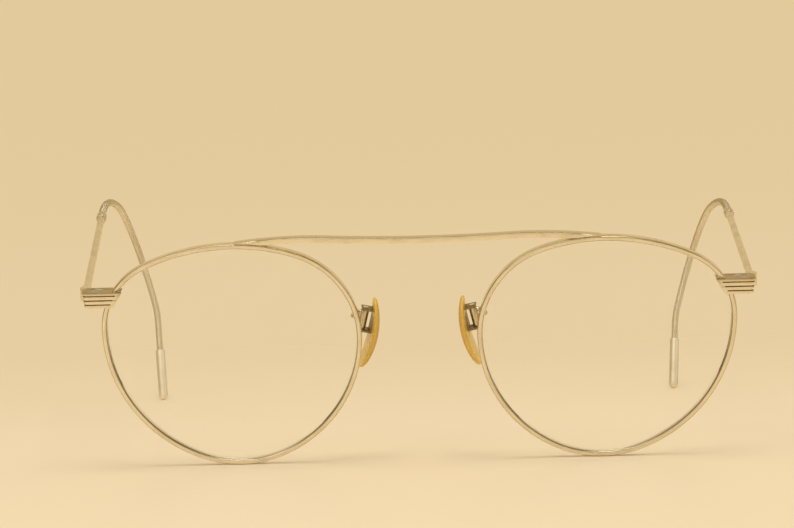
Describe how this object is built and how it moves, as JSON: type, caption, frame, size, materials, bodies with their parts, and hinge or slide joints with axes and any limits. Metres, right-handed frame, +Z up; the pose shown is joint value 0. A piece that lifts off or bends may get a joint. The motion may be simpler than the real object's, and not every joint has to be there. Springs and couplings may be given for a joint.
{
  "type": "wire eyeglasses with cable temples",
  "caption": "Wire eyeglasses: a straight brow bar over two rounded lenses, ribbed endpieces, swivelling nose pads, and folding temples whose cable ends hook round the ear",
  "frame": {"origin": "on the table, under the middle of the whole, where the glasses rest on the bottoms of both rims and on both temple tips", "axes": "+X runs across the front to the wearer's left, +Y from the front back to the ears, +Z up from the table"},
  "size_m": [0.128, 0.117, 0.045],
  "materials": {
    "frame_metal": "polished",
    "screw": "satin",
    "cable": "wound wire",
    "pad_box": "tarnished",
    "pad": "clear amber",
    "lens": "polished"
  },
  "bodies": {
    "front": {"brow_bar": "frame_metal", "left_eyewire": "frame_metal", "left_lens": "lens", "left_endpiece_upper": "frame_metal", "left_endpiece_lower": "frame_metal", "left_hinge_screw": "screw", "left_guard_arm": "frame_metal", "right_eyewire": "frame_metal", "right_lens": "lens", "right_endpiece_upper": "frame_metal", "right_endpiece_lower": "frame_metal", "right_hinge_screw": "screw", "right_guard_arm": "frame_metal"},
    "left_temple": {"left_temple_knuckle": "frame_metal", "left_temple_shaft": "frame_metal", "left_ferrule": "frame_metal", "left_cable_core": "cable", "left_cable": "cable", "left_temple_tip": "frame_metal"},
    "left_pad": {"left_pad_box": "pad_box", "left_pad_pin": "frame_metal", "left_nose_pad": "pad"},
    "right_temple": {"right_temple_knuckle": "frame_metal", "right_temple_shaft": "frame_metal", "right_ferrule": "frame_metal", "right_cable_core": "cable", "right_cable": "cable", "right_temple_tip": "frame_metal"},
    "right_pad": {"right_pad_box": "pad_box", "right_pad_pin": "frame_metal", "right_nose_pad": "pad"}
  },
  "joints": [
    {"name": "left_hinge", "type": "hinge", "parent": "front", "child": "left_temple", "pos_m": [0.05714, -0.05508, 0.03142], "axis": [0, -0.225, 0.9744], "range_deg": [0, 84]},
    {"name": "right_hinge", "type": "hinge", "parent": "front", "child": "right_temple", "pos_m": [-0.05714, -0.05508, 0.03142], "axis": [0, 0.225, -0.9744], "range_deg": [0, 84]},
    {"name": "left_pad_swivel", "type": "hinge", "parent": "front", "child": "left_pad", "pos_m": [0.0101, -0.0487, 0.02602], "axis": [-0.2334, -0.2187, 0.9474], "range_deg": [-12, 12]},
    {"name": "right_pad_swivel", "type": "hinge", "parent": "front", "child": "right_pad", "pos_m": [-0.0101, -0.0487, 0.02602], "axis": [0.2334, -0.2187, 0.9474], "range_deg": [-12, 12]}
  ]
}
